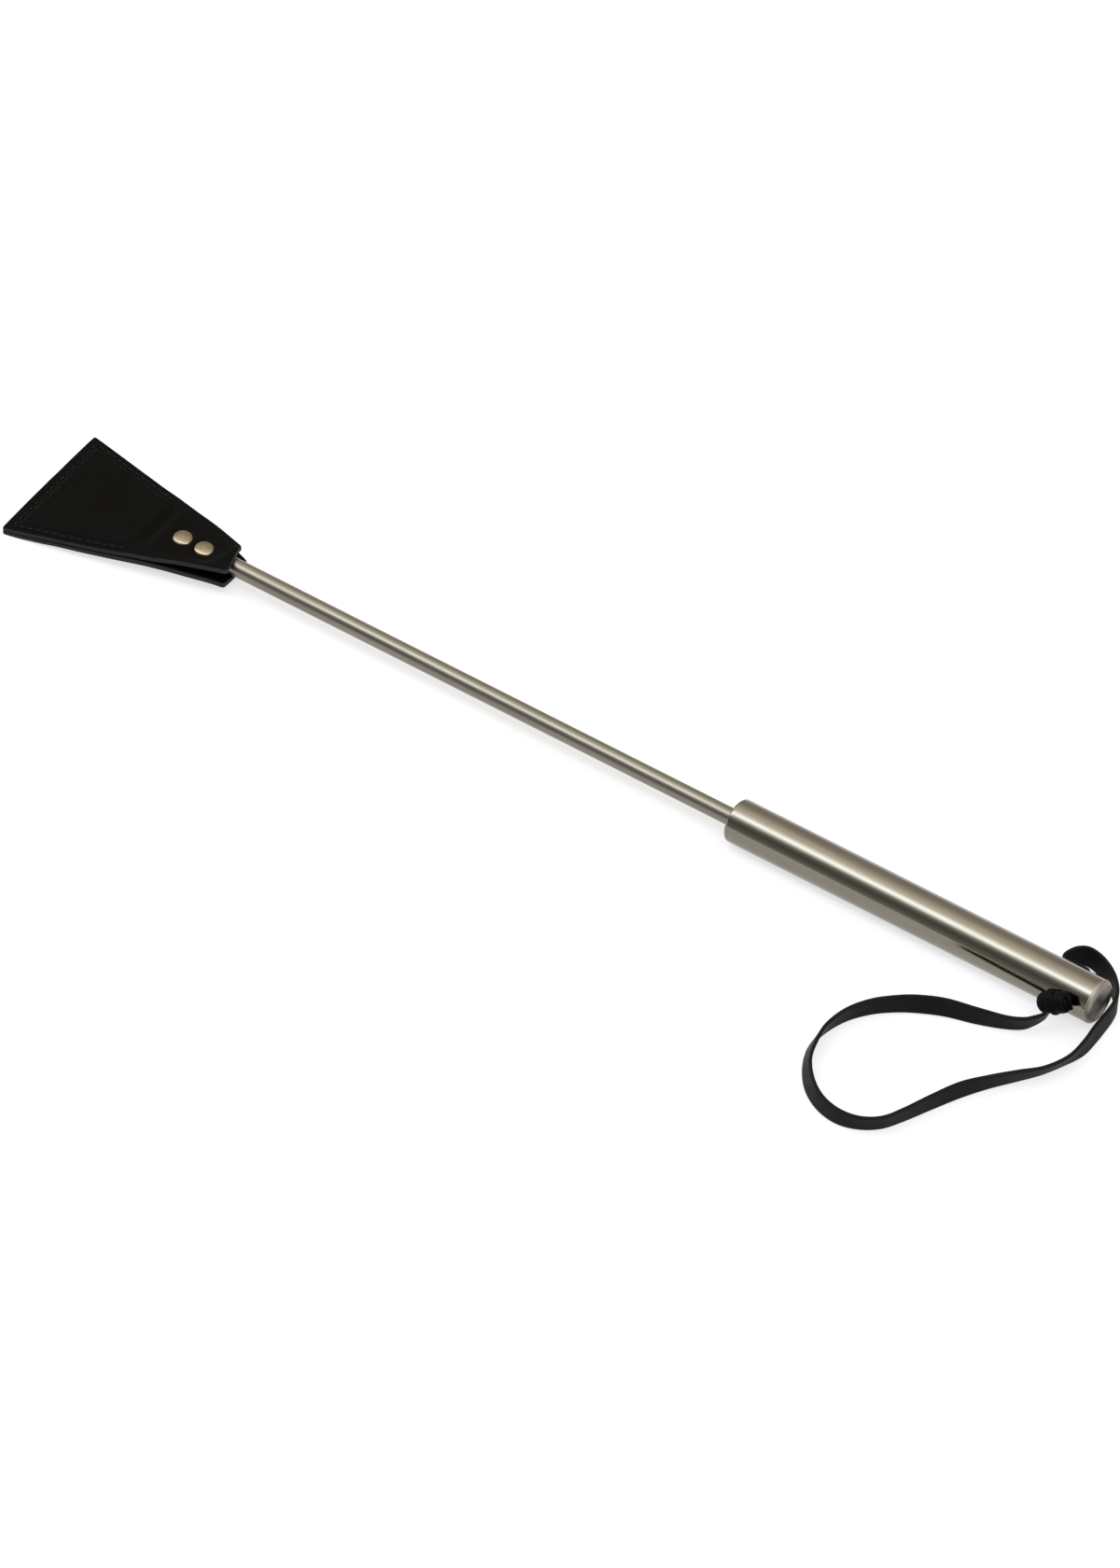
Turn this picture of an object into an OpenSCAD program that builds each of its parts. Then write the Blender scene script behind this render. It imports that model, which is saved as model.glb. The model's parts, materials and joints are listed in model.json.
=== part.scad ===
// Steel riding crop with a stitched leather flap and a knotted wrist strap.
// It lies at rest on a flat surface: +X runs along the crop towards the butt, +Z is up, and the
// origin is on that surface, under the middle of the crop's length.

/* [Handle] */
// Length of the whole crop, from the flap's far edge to the butt
overall_l = 608; // [600:1:640]
// Outer diameter of the handle
handle_d = 22.2; // [21.8:0.1:23]
// Length of the handle
handle_l = 206; // [180:1:220]
// Wall of the handle tube
handle_wall = 2.4; // [2.2:0.1:3]
// Radius on the handle's front edge
front_edge_r = 2; // [0.5:0.1:2]
// Radius on the handle's butt edge
butt_edge_r = 2.3; // [0.5:0.1:2.3]

/* [Strap hole] */
// Diameter of the cross hole that the strap goes through
hole_d = 9; // [8.6:0.1:9.6]
// Distance of the cross hole from the butt face
hole_from_butt = 15.5; // [15:0.1:16]
// Tilt of the cross hole, its near mouth upwards
hole_tilt = 12; // [11.5:0.1:12.5]

/* [Shaft] */
// Outer diameter of the shaft
shaft_d = 8.7; // [8.4:0.1:9]
// Wall of the shaft tube
shaft_wall = 1.2; // [0.8:0.1:1.4]
// Length of the shaft that the flap covers
shaft_in_flap = 43; // [42:0.5:45]
// Thickness of the pressed flat end
tang_t = 3.2; // [2.8:0.1:3.4]
// Width of the pressed flat end
tang_w = 12; // [11:0.5:13]

/* [Flap] */
// Length of the flap's top layer
flap_l = 111; // [108:1:114]
// Width of the flap at its far edge
flap_far_w = 77; // [68:1:80]
// Width of the top layer at its narrow end
top_narrow_w = 17.8; // [17:0.2:19]
// Width of the bottom layer at its narrow end
bottom_narrow_w = 19.6; // [19:0.2:21]
// Extra length of the bottom layer at its narrow end
bottom_extra_l = 0.5; // [0.5:0.1:2]
// Thickness of one layer of leather
leather_t = 2.8; // [2.4:0.1:3]
// Thickness of the stiffener between the layers
core_t = 1.4; // [1:0.1:1.6]
// Width of the stitched rim around the stiffener
rim_w = 6.5; // [5.5:0.5:8]
// Gap that the flap bends at
flex_gap = 2.4; // [2.2:0.1:3]

/* [Rivets] */
// Diameter of a rivet's domed cap
rivet_cap_d = 10; // [9:0.5:11]
// Height of a rivet's domed cap
rivet_cap_h = 1.8; // [1.4:0.1:2.2]
// Outer diameter of a rivet's hollow post
rivet_post_d = 3.4; // [3:0.1:4]
// Distance between the two rivets
rivet_pitch = 12.7; // [12:0.1:13.5]
// Distance of the first rivet from the top layer's narrow end
rivet_inset = 18; // [17:0.5:19]

/* [Stitching] */
// Distance between two stitches
stitch_pitch = 4.2; // [3.6:0.1:6]
// Length of a stitch
stitch_l = 2.8; // [2:0.1:3.2]
// Thickness of the thread
stitch_w = 0.8; // [0.6:0.1:1]
// Distance of the stitches from the leather's sides
stitch_inset = 3.2; // [2.8:0.1:4]

/* [Strap] */
// Width of the strap
strap_w = 10; // [9:0.5:10]
// Thickness of the strap
strap_t = 1.8; // [1.4:0.1:1.8]
// Width of the strap where the hole squeezes it
strap_pinched_w = 7; // [6:0.5:7]
// Thickness of the strap where the hole squeezes it
strap_pinched_t = 3; // [2:0.5:3]

/* [Hidden] */

$fn = 64;

steel = [0.66, 0.63, 0.58];
inner_steel = [0.5, 0.5, 0.52];
nickel = [0.72, 0.69, 0.62];
black_leather = [0.09, 0.09, 0.085];
black_strap = [0.12, 0.12, 0.12];
thread = [0.16, 0.16, 0.15];
board = [0.3, 0.27, 0.22];

// stations along the crop
butt_x = overall_l / 2;
far_x = -overall_l / 2;
front_x = butt_x - handle_l;
hole_x = butt_x - hole_from_butt;
top_end_x = far_x + flap_l;
bottom_end_x = top_end_x + bottom_extra_l;
tang_tip_x = top_end_x - shaft_in_flap;
tang_root_x = top_end_x - 13;
round_end_x = top_end_x - 3;
flex_x = tang_tip_x - 3;
root_cut_x = flex_x + flex_gap / 2;
blade_cut_x = flex_x - flex_gap / 2;
rear_rivet_x = top_end_x - rivet_inset;
front_rivet_x = rear_rivet_x - rivet_pitch;

// handle and shaft
handle_r = handle_d / 2;
axis_z = handle_r;
bore_r = handle_r - handle_wall;
shaft_r = shaft_d / 2;
plug_l = 28;
plug_recess = 0.3;
bush_x = front_x + 52;
bush_l = 22;
shaft_end_x = bush_x + bush_l;
pin_d = 3;
butt_plug_l = 42;

// heights of the flap's layers over the tang and over the round shaft
tang_z = axis_z - shaft_r;
root_bottom_z = tang_z - leather_t;
root_top_z = tang_z + tang_t;
over_shaft_z = axis_z + shaft_r;
climb_lead = 0.5;
core_inset = 0.4;
core_far_gap = 1.6;

rivet_clearance = 0.1;
rivet_base_t = 1;
rivet_pin_d = 1.8;

stitch_proud = 0.25;
stitch_far_inset = 4;

// The strap's route: [x from the cross hole, y, z, lean], lean in degrees from standing on edge,
// positive where the upper edge leans out of the loop. It starts in the knot, goes through the
// hole, turns round the butt, and loops back over the surface to the knot.
STRAP_ROUTE = [
    [0, -14, 14, 0], [0, 0, 11, 0], [0, 12, 8.5, 0], [-4, 14.4, 7.4, 0],
    [-9.5, 14, 6.6, 2], [-13.8, 14.8, 6.1, 6], [-15.2, 17.4, 5.8, 10], [-14.2, 21, 5.7, 16],
    [-12.4, 24.2, 5.4, 20], [-8.8, 26.2, 5.3, 22], [-3.2, 25.6, 5.2, 22], [3, 23, 5.2, 22],
    [8.2, 19.8, 5.2, 18], [12.6, 16.2, 5.2, 12], [16.6, 11.8, 5.2, 6], [19.2, 6.8, 5.2, 0],
    [20.4, 0.5, 5.2, -4], [20.8, -6, 5.2, -6], [21.2, -13, 5.2, -6], [21.7, -23.5, 5.2, 2],
    [19.6, -34.5, 5.2, 22], [14.3, -46, 5.2, 25], [6.5, -55.7, 5.2, 16], [-2.4, -66.8, 5.2, 8],
    [-10.3, -78.5, 5.2, -2], [-17, -92.8, 5.2, 2], [-23, -106.5, 5.2, 8], [-28.7, -116.3, 5.2, 12],
    [-37.5, -122.5, 5.2, 8], [-48, -124.5, 5.2, -2], [-59, -122, 5.2, -10], [-69, -115.5, 5.2, -18],
    [-77.2, -105.7, 5.2, -20], [-82, -94, 5.2, -26], [-83.2, -82, 5.2, -17], [-80.2, -69.2, 5.2, -8],
    [-73.8, -58.7, 5.2, 0], [-66, -51, 5.2, 6], [-57.3, -44.8, 5.2, 12], [-45.2, -39, 5.2, 13],
    [-30.3, -35, 5.2, 5], [-17.2, -30.8, 5.3, -8], [-9.8, -27.2, 5.8, -14], [-6.2, -23.7, 6.6, -20],
    [-3.3, -19.9, 8.2, -26], [-2.2, -16.8, 11, -24],
];
strap_steps = 2;
pinch_from = 12;
pinch_to = 17;

knot_r = 4.4;
knot_gap = 0.4;
knot_half_l = 4.2;
knot_half_h = 1.2;

// ---------- helpers ----------

function unit(v) = v / norm(v);
function mix(a, b, t) = a + (b - a) * t;
function clamp01(t) = max(0, min(1, t));

// Points of a fillet of radius r at corner p, between its neighbours a and b
function fillet(a, p, b, r) =
    r == 0 ? [p] :
    let (
        u = unit(a - p),
        v = unit(b - p),
        half = acos(u * v) / 2,
        centre = p + unit(u + v) * (r / sin(half)),
        start = p + u * (r / tan(half)) - centre,
        end = p + v * (r / tan(half)) - centre,
        steps = 6
    )
    [for (i = [0:steps]) centre + r * unit(mix(start, end, i / steps))];

// A closed outline whose corner i has the radius radii[i]
function rounded(points, radii) =
    let (n = len(points))
    [for (i = [0:n - 1]) each fillet(points[(i + n - 1) % n], points[i], points[(i + 1) % n], radii[i])];

// Half width of a layer at x, where it is narrow_w wide at narrow_x
function half_width(x, narrow_x, narrow_w) =
    mix(flap_far_w, narrow_w, (x - far_x) / (narrow_x - far_x)) / 2;

// Outline of a layer between x0 and x1, with the radius r0 on the corners at x0 and r1 at x1
function layer_outline(x0, x1, narrow_x, narrow_w, r0 = 0, r1 = 0) =
    let (
        w0 = half_width(x0, narrow_x, narrow_w),
        w1 = half_width(x1, narrow_x, narrow_w)
    )
    rounded([[x0, -w0], [x1, -w1], [x1, w1], [x0, w0]], [r0, r1, r1, r0]);

// Outline of the field inside the stitched rim, inset by the given width from each side
function field_outline(x0, x1, inset) =
    let (
        slope = (flap_far_w - top_narrow_w) / 2 / flap_l,
        side = inset * sqrt(1 + slope * slope),
        w0 = half_width(x0, top_end_x, top_narrow_w) - side,
        w1 = half_width(x1, top_end_x, top_narrow_w) - side
    )
    rounded([[x0, -w0], [x1, -w1], [x1, w1], [x0, w0]], [3, 2, 2, 3]);

// Height of the blade's underside at x: on the surface at the far edge, at the shaft's root height
// at the bend
function blade_z(x) = root_bottom_z * (x - far_x) / (flex_x - far_x);

// An outline in the XY plane, raised through the whole height of the flap
module plan_prism(outline) {
    translate([0, 0, -1])
        linear_extrude(40)
            polygon(outline);
}

// A side profile in the XZ plane, widened across the whole flap
module side_prism(profile) {
    rotate([90, 0, 0])
        linear_extrude(flap_far_w + 20, center = true)
            polygon(profile);
}

// A slab that follows the blade, from the height z0 to z1 above its underside
module blade_slab(z0, z1) {
    side_prism([
        [far_x - 1, blade_z(far_x - 1) + z0],
        [flex_x, blade_z(flex_x) + z0],
        [flex_x, blade_z(flex_x) + z1],
        [far_x - 1, blade_z(far_x - 1) + z1],
    ]);
}

// A solid turned about the crop's axis, from a profile of [radius, x] points
module turned(profile) {
    translate([0, 0, axis_z])
        rotate([0, 90, 0])
            rotate_extrude()
                polygon(profile);
}

// A round bar on the crop's axis, from x0 to x1
module axis_bar(r, x0, x1) {
    translate([x0, 0, axis_z])
        rotate([0, 90, 0])
            cylinder(r = r, h = x1 - x0);
}

// Moves its children to the cross hole, with the hole along their Y axis and the near mouth at -Y
module at_hole() {
    translate([hole_x, 0, axis_z])
        rotate([-hole_tilt, 0, 0])
            children();
}

module cross_hole() {
    at_hole()
        rotate([90, 0, 0])
            cylinder(d = hole_d, h = handle_d + 4, center = true);
}

module upright_hole(x, d) {
    translate([x, 0, -1])
        cylinder(d = d, h = 30);
}

module rivet_holes() {
    for (x = [front_rivet_x, rear_rivet_x])
        upright_hole(x, rivet_post_d + 2 * rivet_clearance);
}

// ---------- handle ----------

module handle_tube() {
    front_arc = [for (i = [0:8]) let (a = 90 * i / 8)
        [handle_r - front_edge_r + front_edge_r * sin(a), front_x + front_edge_r - front_edge_r * cos(a)]];
    butt_arc = [for (i = [0:6]) let (a = 90 * i / 6)
        [handle_r - butt_edge_r + butt_edge_r * cos(a), butt_x - butt_edge_r + butt_edge_r * sin(a)]];
    color(steel)
        difference() {
            turned(concat([[bore_r, front_x]], front_arc, butt_arc, [[bore_r, butt_x]]));
            cross_hole();
        }
}

// Closes the handle's front end and holds the shaft
module front_plug() {
    color(inner_steel)
        difference() {
            axis_bar(bore_r, front_x + plug_recess, front_x + plug_l);
            axis_bar(shaft_r, front_x - 1, front_x + plug_l + 1);
        }
}

// Holds the shaft's inner end in the middle of the handle tube
module anchor_bush() {
    color(inner_steel)
        difference() {
            axis_bar(bore_r, bush_x, bush_x + bush_l);
            axis_bar(shaft_r, bush_x - 1, bush_x + bush_l + 1);
            upright_hole(bush_x + bush_l / 2, pin_d);
        }
}

// Keeps the shaft from turning or pulling out of the bush
module anchor_pin() {
    pin_l = 2 * bore_r - 1;
    color(inner_steel)
        translate([bush_x + bush_l / 2, 0, axis_z - pin_l / 2])
            cylinder(d = pin_d, h = pin_l);
}

module butt_plug() {
    color(steel)
        difference() {
            axis_bar(bore_r, butt_x - butt_plug_l, butt_x);
            cross_hole();
        }
}

// ---------- shaft ----------

// The shaft's round tube, whose end in the flap is pressed flat
module shaft() {
    sliver = 0.2;
    color(steel)
        difference() {
            union() {
                axis_bar(shaft_r, round_end_x - sliver, shaft_end_x);
                hull() {
                    axis_bar(shaft_r, round_end_x - sliver, round_end_x);
                    translate([tang_root_x, -tang_w / 2, tang_z])
                        cube([sliver, tang_w, tang_t]);
                }
                translate([tang_tip_x, -tang_w / 2, tang_z])
                    cube([tang_root_x - tang_tip_x + sliver, tang_w, tang_t]);
            }
            axis_bar(shaft_r - shaft_wall, round_end_x + 2, shaft_end_x + 1);
            upright_hole(bush_x + bush_l / 2, pin_d);
            rivet_holes();
        }
}

// ---------- flap ----------

module bottom_leather_root() {
    color(black_leather)
        difference() {
            intersection() {
                plan_prism(layer_outline(root_cut_x, bottom_end_x, bottom_end_x, bottom_narrow_w, 0, 2));
                side_prism([[root_cut_x - 1, root_bottom_z], [bottom_end_x + 1, root_bottom_z],
                            [bottom_end_x + 1, tang_z], [root_cut_x - 1, tang_z]]);
            }
            rivet_holes();
        }
}

module bottom_leather_blade() {
    color(black_leather)
        intersection() {
            plan_prism(layer_outline(far_x, blade_cut_x, bottom_end_x, bottom_narrow_w, 3, 0));
            blade_slab(0, leather_t);
        }
}

// The top layer lies on the tang, and climbs over the round shaft at its narrow end. It reaches the
// shaft's full height climb_lead before the shaft does, so that it clears the tang's shoulder.
module top_leather_root() {
    climb = [[root_cut_x - 1, root_top_z], [tang_root_x, root_top_z],
             [round_end_x - climb_lead, over_shaft_z], [top_end_x + 1, over_shaft_z]];
    upper = [for (i = [len(climb) - 1:-1:0]) climb[i] + [0, leather_t]];
    color(black_leather)
        difference() {
            intersection() {
                plan_prism(layer_outline(root_cut_x, top_end_x, top_end_x, top_narrow_w, 0, 2));
                side_prism(concat(climb, upper));
            }
            rivet_holes();
        }
}

// The top layer's rim lies on the bottom layer, and its field stands over the stiffener
module top_leather_blade() {
    field = field_outline(far_x + rim_w, blade_cut_x, rim_w);
    pocket = field_outline(far_x + rim_w + core_far_gap, blade_cut_x + 1, rim_w + core_inset);
    color(black_leather)
        difference() {
            union() {
                intersection() {
                    plan_prism(layer_outline(far_x, blade_cut_x, top_end_x, top_narrow_w, 3, 0));
                    blade_slab(leather_t, 2 * leather_t);
                }
                intersection() {
                    plan_prism(field);
                    blade_slab(2 * leather_t - 0.1, 2 * leather_t + core_t);
                }
            }
            intersection() {
                plan_prism(pocket);
                blade_slab(leather_t - 0.1, leather_t + core_t);
            }
        }
}

// Stiffener that keeps the blade flat
module paddle_core() {
    outline = field_outline(far_x + rim_w + core_far_gap + core_inset, blade_cut_x, rim_w + 2 * core_inset);
    color(board)
        intersection() {
            plan_prism(outline);
            blade_slab(leather_t, leather_t + core_t);
        }
}

// One stitch through both layers at [x, y], its thread along the angle a
module stitch(x, y, a) {
    translate([x, y, blade_z(x) + leather_t])
        rotate([0, 0, a])
            cube([stitch_l, stitch_w, 2 * (leather_t + stitch_proud)], center = true);
}

// Rows of stitches along both sides and the far edge of the blade
module edge_stitching() {
    row_x0 = far_x + stitch_far_inset;
    row_x1 = blade_cut_x - 3;
    slope = (flap_far_w - top_narrow_w) / 2 / flap_l;
    side = stitch_inset * sqrt(1 + slope * slope);
    count = floor((row_x1 - row_x0) / stitch_pitch);
    far_half = half_width(row_x0, top_end_x, top_narrow_w) - side;
    far_count = floor(2 * far_half / stitch_pitch);
    color(thread) {
        for (i = [1:count], s = [-1, 1]) {
            x = row_x0 + i * stitch_pitch;
            stitch(x, s * (half_width(x, top_end_x, top_narrow_w) - side), -s * atan(slope));
        }
        for (i = [0:far_count])
            stitch(row_x0, (i - far_count / 2) * stitch_pitch, 90);
    }
}

// ---------- rivets ----------

// Domed cap with the pin that is pressed into the base's post
module rivet_cap(x) {
    head_z = root_top_z + leather_t;
    dome_r = (pow(rivet_cap_d / 2, 2) + pow(rivet_cap_h, 2)) / (2 * rivet_cap_h);
    color(nickel)
        translate([x, 0, head_z])
            union() {
                intersection() {
                    translate([0, 0, rivet_cap_h - dome_r])
                        sphere(r = dome_r);
                    cylinder(d = rivet_cap_d, h = rivet_cap_h + 1);
                }
                translate([0, 0, -3])
                    cylinder(d = rivet_pin_d, h = 3.2);
            }
}

// Flat base under the flap, with the hollow post that goes up through the leather and the tang
module rivet_base(x) {
    post_top = root_top_z + leather_t;
    color(nickel)
        translate([x, 0, root_bottom_z - rivet_base_t])
            difference() {
                union() {
                    cylinder(d = rivet_cap_d - 1, h = rivet_base_t);
                    cylinder(d = rivet_post_d, h = post_top - root_bottom_z + rivet_base_t);
                }
                translate([0, 0, rivet_base_t + 1])
                    cylinder(d = rivet_pin_d, h = 20);
            }
}

module front_rivet_cap() { rivet_cap(front_rivet_x); }
module front_rivet_base() { rivet_base(front_rivet_x); }
module rear_rivet_cap() { rivet_cap(rear_rivet_x); }
module rear_rivet_base() { rivet_base(rear_rivet_x); }

// ---------- wrist strap ----------

// Catmull-Rom point between p1 and p2, with p0 before and p3 after
function spline(p0, p1, p2, p3, t) =
    0.5 * (2 * p1 + (p2 - p0) * t + (2 * p0 - 5 * p1 + 4 * p2 - p3) * t * t
           + (3 * p1 - p0 - 3 * p2 + p3) * t * t * t);

// The route smoothed, strap_steps points to a stretch
function smooth_route(p) =
    let (n = len(p))
    [for (i = [0:n - 2], k = [0:strap_steps - 1])
        spline(p[max(i - 1, 0)], p[i], p[i + 1], p[min(i + 2, n - 1)], k / strap_steps),
     p[n - 1]];

// The strap's cross section at one point, as offsets [across the width, across the thickness]
function strap_section(w, t) = [
    [w / 2, t / 4], [w / 2 - t / 3, t / 2], [t / 3 - w / 2, t / 2], [-w / 2, t / 4],
    [-w / 2, -t / 4], [t / 3 - w / 2, -t / 2], [w / 2 - t / 3, -t / 2], [w / 2, -t / 4],
];

// One ring of the strap, round the route point p that the strap runs through along d
function strap_ring(p, d) =
    let (
        centre = [hole_x + p[0], p[1], p[2]],
        out = unit([-d[1], d[0], 0]),
        up = unit([0, 0, 1] - d * d[2]),
        wide = unit(cos(p[3]) * up + sin(p[3]) * out),
        thick = cross(d, wide),
        free = clamp01((norm([p[0], p[1], p[2] - axis_z]) - pinch_from) / (pinch_to - pinch_from)),
        section = strap_section(mix(strap_pinched_w, strap_w, free), mix(strap_pinched_t, strap_t, free))
    )
    [for (q = section) centre + wide * q[0] + thick * q[1]];

module wrist_strap() {
    path = smooth_route(STRAP_ROUTE);
    n = len(path);
    sides = 8;
    heading = [for (i = [0:n - 1])
        let (step = path[min(i + 1, n - 1)] - path[max(i - 1, 0)])
        unit([step[0], step[1], step[2]])];
    points = [for (i = [0:n - 1]) each strap_ring(path[i], heading[i])];
    walls = [for (i = [0:n - 2], k = [0:sides - 1])
        let (a = i * sides + k, b = i * sides + (k + 1) % sides)
        each [[a, b, b + sides], [a, b + sides, a + sides]]];
    start_cap = [for (k = [sides - 1:-1:0]) k];
    end_cap = [for (k = [0:sides - 1]) (n - 1) * sides + k];
    color(black_strap)
        polyhedron(points, concat(walls, [start_cap, end_cap]), convexity = 10);
}

// The knot that joins the strap's two ends in front of the hole's near mouth
module strap_knot() {
    color(black_strap)
        at_hole()
            translate([0, -(handle_r + knot_gap + knot_r), 0])
                hull()
                    for (x = [-knot_half_l, knot_half_l], z = [-knot_half_h, knot_half_h])
                        translate([x, 0, z])
                            sphere(r = knot_r, $fn = 24);
}

handle_tube();
front_plug();
anchor_bush();
anchor_pin();
butt_plug();
shaft();
bottom_leather_root();
bottom_leather_blade();
top_leather_root();
top_leather_blade();
paddle_core();
edge_stitching();
front_rivet_cap();
front_rivet_base();
rear_rivet_cap();
rear_rivet_base();
wrist_strap();
strap_knot();
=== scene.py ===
"""Looks of a steel riding crop with a stitched leather flap and a knotted wrist strap.

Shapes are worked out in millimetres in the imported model's frame and made in metres: +X runs along the
crop towards the butt, +Z is up, and the origin is on the surface that the crop lies on.
"""

import json
import math

import bmesh
import bpy
import numpy as np
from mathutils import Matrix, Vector, noise


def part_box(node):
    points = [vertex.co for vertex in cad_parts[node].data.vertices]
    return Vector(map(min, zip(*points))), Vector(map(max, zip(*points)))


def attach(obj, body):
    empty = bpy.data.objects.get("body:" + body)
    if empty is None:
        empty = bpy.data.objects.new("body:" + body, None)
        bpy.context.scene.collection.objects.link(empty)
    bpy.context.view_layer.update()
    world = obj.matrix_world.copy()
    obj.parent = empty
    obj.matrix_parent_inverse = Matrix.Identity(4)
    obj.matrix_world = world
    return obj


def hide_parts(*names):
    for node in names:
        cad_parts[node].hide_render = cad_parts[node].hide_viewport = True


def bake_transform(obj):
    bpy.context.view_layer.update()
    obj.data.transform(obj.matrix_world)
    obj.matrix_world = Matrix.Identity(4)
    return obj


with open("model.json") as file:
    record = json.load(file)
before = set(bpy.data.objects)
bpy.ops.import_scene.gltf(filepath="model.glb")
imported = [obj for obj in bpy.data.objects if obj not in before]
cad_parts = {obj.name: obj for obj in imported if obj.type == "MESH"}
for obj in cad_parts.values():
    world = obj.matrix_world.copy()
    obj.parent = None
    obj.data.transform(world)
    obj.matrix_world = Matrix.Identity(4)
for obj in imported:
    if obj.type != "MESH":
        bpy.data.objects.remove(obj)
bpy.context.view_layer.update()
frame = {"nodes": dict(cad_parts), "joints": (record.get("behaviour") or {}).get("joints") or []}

MM = 0.001


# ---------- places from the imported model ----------

def box_mm(node):
    """Lowest and highest corner of a CAD node, in millimetres."""
    low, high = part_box(node)
    return np.array(low) / MM, np.array(high) / MM


def middle_x(node):
    """Middle of a CAD node along the crop, in millimetres."""
    low, high = box_mm(node)
    return float(low[0] + high[0]) / 2


handle_low, handle_high = box_mm("handle_tube")
shaft_low, shaft_high = box_mm("shaft")
plug_low, plug_high = box_mm("butt_plug")
collar_low, collar_high = box_mm("front_plug")
_, top_high = box_mm("top_leather_root")
_, bottom_high = box_mm("bottom_leather_root")
blade_low, blade_high = box_mm("top_leather_blade")

FRONT_X, BUTT_X = handle_low[0], handle_high[0]
HANDLE_R = (handle_high[2] - handle_low[2]) / 2
AXIS_Z = (handle_high[2] + handle_low[2]) / 2
BORE_R = (plug_high[2] - plug_low[2]) / 2
SHAFT_R = (shaft_high[2] - shaft_low[2]) / 2
TANG_W = shaft_high[1] - shaft_low[1]
TANG_TIP_X, SHAFT_END_X = shaft_low[0], shaft_high[0]
FAR_X, FAR_HALF_W = blade_low[0], blade_high[1]
TOP_END_X, BOTTOM_END_X = top_high[0], bottom_high[0]
RIVET_X = [middle_x("front_rivet_cap"), middle_x("rear_rivet_cap")]
flex, swing = frame["joints"]
FLEX_X = flex["pos_m"][0] / MM
HOLE = np.array(swing["pos_m"]) / MM
HOLE_AXIS = np.array(swing["axis"])

# the cross hole's radius, the thickness of the shaft's flat end, the rivet holes' radius, and half the
# width of each leather layer at its narrow end
HOLE_R = 4.5
TANG_T = 3.2
RIVET_HOLE_R = 1.8
TOP_END_HALF_W, BOTTOM_END_HALF_W = 8.9, 9.8


# ---------- small helpers ----------

def smooth(t):
    """Smooth step from 0 to 1."""
    t = np.clip(t, 0.0, 1.0)
    return t * t * (3 - 2 * t)


def bell(t):
    """A bump of height 1 at t = 0 that fades out by about t = 2."""
    return np.exp(-t * t)


def curve(stations, x, blur=2.0):
    """Value at x of a line through the stations, with its corners rounded over the blur."""
    xs, ys = zip(*stations)
    shifts = (-1.0, -0.5, 0.0, 0.5, 1.0)
    return sum(np.interp(np.asarray(x) + s * blur, xs, ys) for s in shifts) / len(shifts)


def unit(v):
    """Vectors scaled to length 1, along the last axis."""
    return v / np.linalg.norm(v, axis=-1, keepdims=True)


def run_lengths(points):
    """Distance of each point from the first one, along the line through them all."""
    return np.concatenate([[0], np.cumsum(np.linalg.norm(np.diff(points, axis=0), axis=1))])


def make_piece(name, points, faces, material):
    """A mesh piece from points in millimetres."""
    mesh = bpy.data.meshes.new(name)
    mesh.from_pydata([tuple(p) for p in np.asarray(points) * MM], [], [tuple(f) for f in faces])
    mesh.materials.append(material)
    mesh.shade_smooth()
    piece = bpy.data.objects.new(name, mesh)
    bpy.context.scene.collection.objects.link(piece)
    return piece


def settle(piece, body, node=None):
    """Makes a piece ride on a body, and stand for a CAD node, which it hides."""
    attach(piece, body)
    if node:
        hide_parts(node)


def crisp(piece, degrees=32):
    """Marks the edges sharper than an angle as sharp, so that flat faces shade flat."""
    work = bmesh.new()
    work.from_mesh(piece.data)
    for edge in work.edges:
        if len(edge.link_faces) == 2 and edge.calc_face_angle(0.0) > math.radians(degrees):
            edge.smooth = False
    work.to_mesh(piece.data)
    work.free()


def ring_faces(count, sides, closed=False):
    """Quads between rings of points. The rings join end to end if closed, and are capped otherwise."""
    faces = []
    for i in range(count if closed else count - 1):
        here, there = i * sides, (i + 1) % count * sides
        for k in range(sides):
            n = (k + 1) % sides
            faces.append((here + k, here + n, there + n, there + k))
    if not closed:
        faces.append(tuple(range(sides - 1, -1, -1)))
        faces.append(tuple((count - 1) * sides + k for k in range(sides)))
    return faces


def turned(profile, segments, closed=True):
    """Points and faces of a solid turned about +X from [x, radius] points. A closed profile is a tube."""
    angles = np.linspace(0, 2 * math.pi, segments, endpoint=False)
    points = [[x, r * math.cos(a), r * math.sin(a)] for x, r in profile for a in angles]
    return np.array(points), ring_faces(len(profile), segments, closed)


def arc(x, r, radius, start, end, steps):
    """[x, radius] points of a rounded corner about the centre (x, r), between two angles in degrees."""
    turns = [math.radians(start + (end - start) * i / steps) for i in range(steps + 1)]
    return [[x + radius * math.cos(t), r + radius * math.sin(t)] for t in turns]


def upright(points, x, z):
    """Points turned about +X, stood up so that +X becomes +Z, at (x, 0, z)."""
    return np.stack([points[:, 1] + x, points[:, 2], points[:, 0] + z], axis=1)


def on_axis(points):
    """Points turned about +X, moved to the crop's axis."""
    return points + [0, 0, AXIS_Z]


def rod_between(start, end, radius, segments):
    """A rod object for cutting, from one point to another, in millimetres."""
    start, end = np.array(start, float), np.array(end, float)
    along = unit(end - start)
    side = unit(np.cross(along, [1.0, 0.0, 0.3]))
    other = np.cross(along, side)
    angles = np.linspace(0, 2 * math.pi, segments, endpoint=False)
    rings = [c + radius * (side * math.cos(a) + other * math.sin(a)) for c in (start, end) for a in angles]
    mesh = bpy.data.meshes.new("cutter")
    mesh.from_pydata([tuple(p * MM) for p in rings], [], ring_faces(2, segments))
    cutter = bpy.data.objects.new("cutter", mesh)
    bpy.context.scene.collection.objects.link(cutter)
    return cutter


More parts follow.
